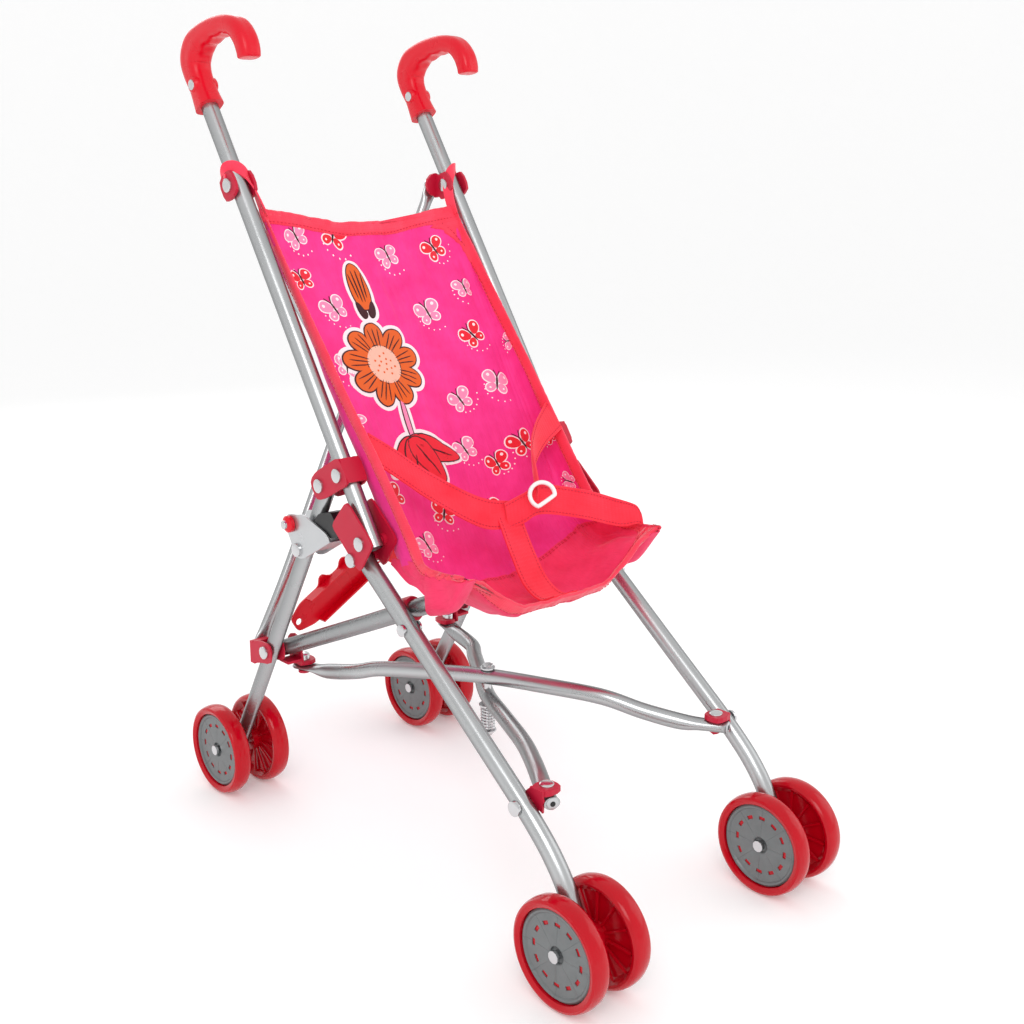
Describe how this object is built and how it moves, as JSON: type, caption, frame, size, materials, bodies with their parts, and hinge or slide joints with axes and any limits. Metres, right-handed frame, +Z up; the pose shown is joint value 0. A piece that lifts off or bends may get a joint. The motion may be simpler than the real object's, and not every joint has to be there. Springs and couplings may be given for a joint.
{
  "type": "doll stroller",
  "caption": "Folding doll umbrella stroller: twin red wheels, silver tube frame with crossed braces, hooked grips and a printed fabric sling seat with harness.",
  "frame": {"origin": "on the floor, midway between the two sides and midway between the front and rear axles", "axes": "+Z up, the front of the stroller faces -Y, +X to the side"},
  "size_m": [0.238, 0.4442, 0.569],
  "materials": {
    "silver_paint": "satin silver paint",
    "red_gloss": "glossy",
    "red_plastic": "satin",
    "tyre_red": "glossy",
    "hub_grey": "satin",
    "steel": "polished",
    "sheet_steel": "satin",
    "black_plastic": "satin",
    "white_plastic": "glossy",
    "pink_cloth": "thin woven polyester",
    "red_webbing": "woven tape"
  },
  "bodies": {
    "left_frame": {"left_grip": "red_gloss", "left_handle_tube": "silver_paint", "left_u_clip": "red_plastic", "seat_sling": "pink_cloth", "harness": "red_webbing", "harness_ring": "white_plastic"},
    "right_frame": {"right_grip": "red_gloss", "right_handle_tube": "silver_paint", "right_u_clip": "red_plastic"},
    "left_rear_leg": {"left_rear_leg": "silver_paint", "left_rear_axle": "steel"},
    "left_front_leg": {"left_front_leg": "silver_paint", "left_hinge_plates": "red_plastic", "left_leg_plug": "black_plastic", "left_front_axle": "steel"},
    "left_seat_rail": {"left_seat_rail": "silver_paint"},
    "left_rear_bracket": {"left_rear_bracket": "red_plastic"},
    "left_front_bracket": {"left_front_bracket": "red_plastic"},
    "left_back_x_foot": {"left_back_x_foot": "red_plastic"},
    "left_top_bracket": {"left_top_bracket": "red_plastic"},
    "left_lock_lever": {"left_lock_lever": "sheet_steel", "left_lever_knob": "red_gloss"},
    "left_front_outer_wheel": {"left_front_outer_wheel": "tyre_red", "left_front_outer_disc": "hub_grey"},
    "left_front_inner_wheel": {"left_front_inner_wheel": "tyre_red", "left_front_inner_disc": "hub_grey"},
    "left_rear_outer_wheel": {"left_rear_outer_wheel": "tyre_red", "left_rear_outer_disc": "hub_grey"},
    "left_rear_inner_wheel": {"left_rear_inner_wheel": "tyre_red", "left_rear_inner_disc": "hub_grey"},
    "right_rear_leg": {"right_rear_leg": "silver_paint", "right_rear_axle": "steel"},
    "right_front_leg": {"right_front_leg": "silver_paint", "right_hinge_plates": "red_plastic", "right_leg_plug": "black_plastic", "right_front_axle": "steel"},
    "right_seat_rail": {"right_seat_rail": "silver_paint"},
    "right_rear_bracket": {"right_rear_bracket": "red_plastic"},
    "right_front_bracket": {"right_front_bracket": "red_plastic"},
    "right_back_x_foot": {"right_back_x_foot": "red_plastic"},
    "right_top_bracket": {"right_top_bracket": "red_plastic"},
    "right_lock_lever": {"right_lock_lever": "sheet_steel", "right_lever_knob": "red_gloss"},
    "right_front_outer_wheel": {"right_front_outer_wheel": "tyre_red", "right_front_outer_disc": "hub_grey"},
    "right_front_inner_wheel": {"right_front_inner_wheel": "tyre_red", "right_front_inner_disc": "hub_grey"},
    "right_rear_outer_wheel": {"right_rear_outer_wheel": "tyre_red", "right_rear_outer_disc": "hub_grey"},
    "right_rear_inner_wheel": {"right_rear_inner_wheel": "tyre_red", "right_rear_inner_disc": "hub_grey"},
    "back_x_tube_a": {"back_x_tube_a": "silver_paint", "back_x_pivot": "steel"},
    "back_x_tube_b": {"back_x_tube_b": "silver_paint"},
    "bottom_x_tube_c": {"bottom_x_tube_c": "silver_paint", "bottom_x_bolt": "steel", "bottom_x_spring": "steel"},
    "bottom_x_tube_d": {"bottom_x_tube_d": "silver_paint"},
    "lock_link_left": {"lock_link_left": "red_plastic"},
    "lock_link_right": {"lock_link_right": "red_plastic"}
  },
  "joints": [
    {"name": "fold", "type": "slide", "parent": "left_frame", "child": "right_frame", "axis": [-1, 0, 0], "range_m": [0, 0.09], "deforming": ["seat_sling", "harness", "harness_ring"]},
    {"name": "left_rear_leg_hinge", "type": "hinge", "parent": "left_frame", "child": "left_rear_leg", "pos_m": [-0.095, 0.054, 0.266], "axis": [1, 0, 0], "range_deg": [-24.91, 0]},
    {"name": "left_front_leg_hinge", "type": "hinge", "parent": "left_frame", "child": "left_front_leg", "pos_m": [-0.095, 0.007, 0.236], "axis": [1, 0, 0], "range_deg": [-52.76, 0]},
    {"name": "left_seat_rail_hinge", "type": "hinge", "parent": "left_rear_leg", "child": "left_seat_rail", "pos_m": [-0.095, 0.1348, 0.1255], "axis": [1, 0, 0], "range_deg": [0, 0.63]},
    {"name": "left_rear_bracket_hinge", "type": "hinge", "parent": "left_rear_leg", "child": "left_rear_bracket", "pos_m": [-0.095, 0.1348, 0.1255], "axis": [1, 0, 0], "range_deg": [-12.32, 0]},
    {"name": "left_front_bracket_hinge", "type": "hinge", "parent": "left_front_leg", "child": "left_front_bracket", "pos_m": [-0.095, -0.137, 0.103], "axis": [1, 0, 0], "range_deg": [0, 15.93]},
    {"name": "left_back_x_foot_hinge", "type": "hinge", "parent": "left_rear_leg", "child": "left_back_x_foot", "pos_m": [-0.095, 0.1348, 0.1255], "axis": [1, 0, 0], "range_deg": [0, 14.53]},
    {"name": "left_top_bracket_hinge", "type": "hinge", "parent": "left_frame", "child": "left_top_bracket", "pos_m": [-0.095, 0.151, 0.459], "axis": [1, 0, 0], "range_deg": [-10.58, 0]},
    {"name": "left_lock_lever_hinge", "type": "hinge", "parent": "left_rear_leg", "child": "left_lock_lever", "pos_m": [-0.095, 0.083, 0.2156], "axis": [1, 0, 0], "range_deg": [0, 100.2]},
    {"name": "left_front_outer_wheel_spin", "type": "hinge", "parent": "left_front_leg", "child": "left_front_outer_wheel", "pos_m": [-0.095, -0.1873, 0.0348], "axis": [1, 0, 0], "continuous": true},
    {"name": "left_front_inner_wheel_spin", "type": "hinge", "parent": "left_front_leg", "child": "left_front_inner_wheel", "pos_m": [-0.095, -0.1873, 0.0348], "axis": [1, 0, 0], "continuous": true},
    {"name": "left_rear_outer_wheel_spin", "type": "hinge", "parent": "left_rear_leg", "child": "left_rear_outer_wheel", "pos_m": [-0.095, 0.1873, 0.0348], "axis": [1, 0, 0], "continuous": true},
    {"name": "left_rear_inner_wheel_spin", "type": "hinge", "parent": "left_rear_leg", "child": "left_rear_inner_wheel", "pos_m": [-0.095, 0.1873, 0.0348], "axis": [1, 0, 0], "continuous": true},
    {"name": "right_rear_leg_hinge", "type": "hinge", "parent": "right_frame", "child": "right_rear_leg", "pos_m": [0.095, 0.054, 0.266], "axis": [1, 0, 0], "range_deg": [-24.91, 0]},
    {"name": "right_front_leg_hinge", "type": "hinge", "parent": "right_frame", "child": "right_front_leg", "pos_m": [0.095, 0.007, 0.236], "axis": [1, 0, 0], "range_deg": [-52.76, 0]},
    {"name": "right_seat_rail_hinge", "type": "hinge", "parent": "right_rear_leg", "child": "right_seat_rail", "pos_m": [0.095, 0.1348, 0.1255], "axis": [1, 0, 0], "range_deg": [0, 0.63]},
    {"name": "right_rear_bracket_hinge", "type": "hinge", "parent": "right_rear_leg", "child": "right_rear_bracket", "pos_m": [0.095, 0.1348, 0.1255], "axis": [1, 0, 0], "range_deg": [-12.32, 0]},
    {"name": "right_front_bracket_hinge", "type": "hinge", "parent": "right_front_leg", "child": "right_front_bracket", "pos_m": [0.095, -0.137, 0.103], "axis": [1, 0, 0], "range_deg": [0, 15.93]},
    {"name": "right_back_x_foot_hinge", "type": "hinge", "parent": "right_rear_leg", "child": "right_back_x_foot", "pos_m": [0.095, 0.1348, 0.1255], "axis": [1, 0, 0], "range_deg": [0, 14.53]},
    {"name": "right_top_bracket_hinge", "type": "hinge", "parent": "right_frame", "child": "right_top_bracket", "pos_m": [0.095, 0.151, 0.459], "axis": [1, 0, 0], "range_deg": [-10.58, 0]},
    {"name": "right_lock_lever_hinge", "type": "hinge", "parent": "right_rear_leg", "child": "right_lock_lever", "pos_m": [0.095, 0.083, 0.2156], "axis": [1, 0, 0], "range_deg": [0, 100.2]},
    {"name": "right_front_outer_wheel_spin", "type": "hinge", "parent": "right_front_leg", "child": "right_front_outer_wheel", "pos_m": [0.095, -0.1873, 0.0348], "axis": [1, 0, 0], "continuous": true},
    {"name": "right_front_inner_wheel_spin", "type": "hinge", "parent": "right_front_leg", "child": "right_front_inner_wheel", "pos_m": [0.095, -0.1873, 0.0348], "axis": [1, 0, 0], "continuous": true},
    {"name": "right_rear_outer_wheel_spin", "type": "hinge", "parent": "right_rear_leg", "child": "right_rear_outer_wheel", "pos_m": [0.095, 0.1873, 0.0348], "axis": [1, 0, 0], "continuous": true},
    {"name": "right_rear_inner_wheel_spin", "type": "hinge", "parent": "right_rear_leg", "child": "right_rear_inner_wheel", "pos_m": [0.095, 0.1873, 0.0348], "axis": [1, 0, 0], "continuous": true},
    {"name": "back_x_tube_a_hinge", "type": "hinge", "parent": "left_top_bracket", "child": "back_x_tube_a", "pos_m": [-0.087, 0.165, 0.459], "axis": [0, 1, 0], "range_deg": [0, 14.55]},
    {"name": "back_x_centre_hinge", "type": "hinge", "parent": "back_x_tube_a", "child": "back_x_tube_b", "pos_m": [0, 0.165, 0.2952], "axis": [0, 1, 0], "range_deg": [-28.9, 0]},
    {"name": "bottom_x_tube_c_hinge", "type": "hinge", "parent": "left_rear_bracket", "child": "bottom_x_tube_c", "pos_m": [-0.0705, 0.1306, 0.1084], "axis": [0, 0, 1], "range_deg": [-18.01, 0]},
    {"name": "bottom_x_centre_hinge", "type": "hinge", "parent": "bottom_x_tube_c", "child": "bottom_x_tube_d", "pos_m": [0, 0.0019, 0.112], "axis": [0, 0, 1], "range_deg": [0, 35.82]},
    {"name": "lock_link_outer_hinge", "type": "hinge", "parent": "left_rear_leg", "child": "lock_link_left", "pos_m": [-0.0785, 0.124, 0.1472], "axis": [0, 1, 0], "range_deg": [-39.11, 0]},
    {"name": "lock_link_centre_hinge", "type": "hinge", "parent": "lock_link_left", "child": "lock_link_right", "pos_m": [0, 0.124, 0.193], "axis": [0, 1, 0], "range_deg": [0, 78.02]}
  ],
  "couplings": [
    {"joint": "left_rear_leg_hinge", "follows": "fold", "rad_per_m": -4.7919},
    {"joint": "left_front_leg_hinge", "follows": "fold", "rad_per_m": -10.193},
    {"joint": "left_seat_rail_hinge", "follows": "fold", "rad_per_m": 0.0834},
    {"joint": "left_rear_bracket_hinge", "follows": "fold", "rad_per_m": -2.3504},
    {"joint": "left_front_bracket_hinge", "follows": "fold", "rad_per_m": 3.0504},
    {"joint": "left_back_x_foot_hinge", "follows": "fold", "rad_per_m": 2.779},
    {"joint": "left_top_bracket_hinge", "follows": "fold", "rad_per_m": -2.0129},
    {"joint": "left_lock_lever_hinge", "follows": "fold", "rad_per_m": 19.392},
    {"joint": "right_rear_leg_hinge", "follows": "fold", "rad_per_m": -4.7919},
    {"joint": "right_front_leg_hinge", "follows": "fold", "rad_per_m": -10.193},
    {"joint": "right_seat_rail_hinge", "follows": "fold", "rad_per_m": 0.0834},
    {"joint": "right_rear_bracket_hinge", "follows": "fold", "rad_per_m": -2.3504},
    {"joint": "right_front_bracket_hinge", "follows": "fold", "rad_per_m": 3.0504},
    {"joint": "right_back_x_foot_hinge", "follows": "fold", "rad_per_m": 2.779},
    {"joint": "right_top_bracket_hinge", "follows": "fold", "rad_per_m": -2.0129},
    {"joint": "right_lock_lever_hinge", "follows": "fold", "rad_per_m": 19.392},
    {"joint": "back_x_tube_a_hinge", "follows": "fold", "rad_per_m": 2.7828},
    {"joint": "back_x_centre_hinge", "follows": "fold", "rad_per_m": -5.5657},
    {"joint": "bottom_x_tube_c_hinge", "follows": "fold", "rad_per_m": -3.4538},
    {"joint": "bottom_x_centre_hinge", "follows": "fold", "rad_per_m": 6.9076},
    {"joint": "lock_link_outer_hinge", "follows": "fold", "rad_per_m": -7.5456},
    {"joint": "lock_link_centre_hinge", "follows": "fold", "rad_per_m": 15.091}
  ]
}
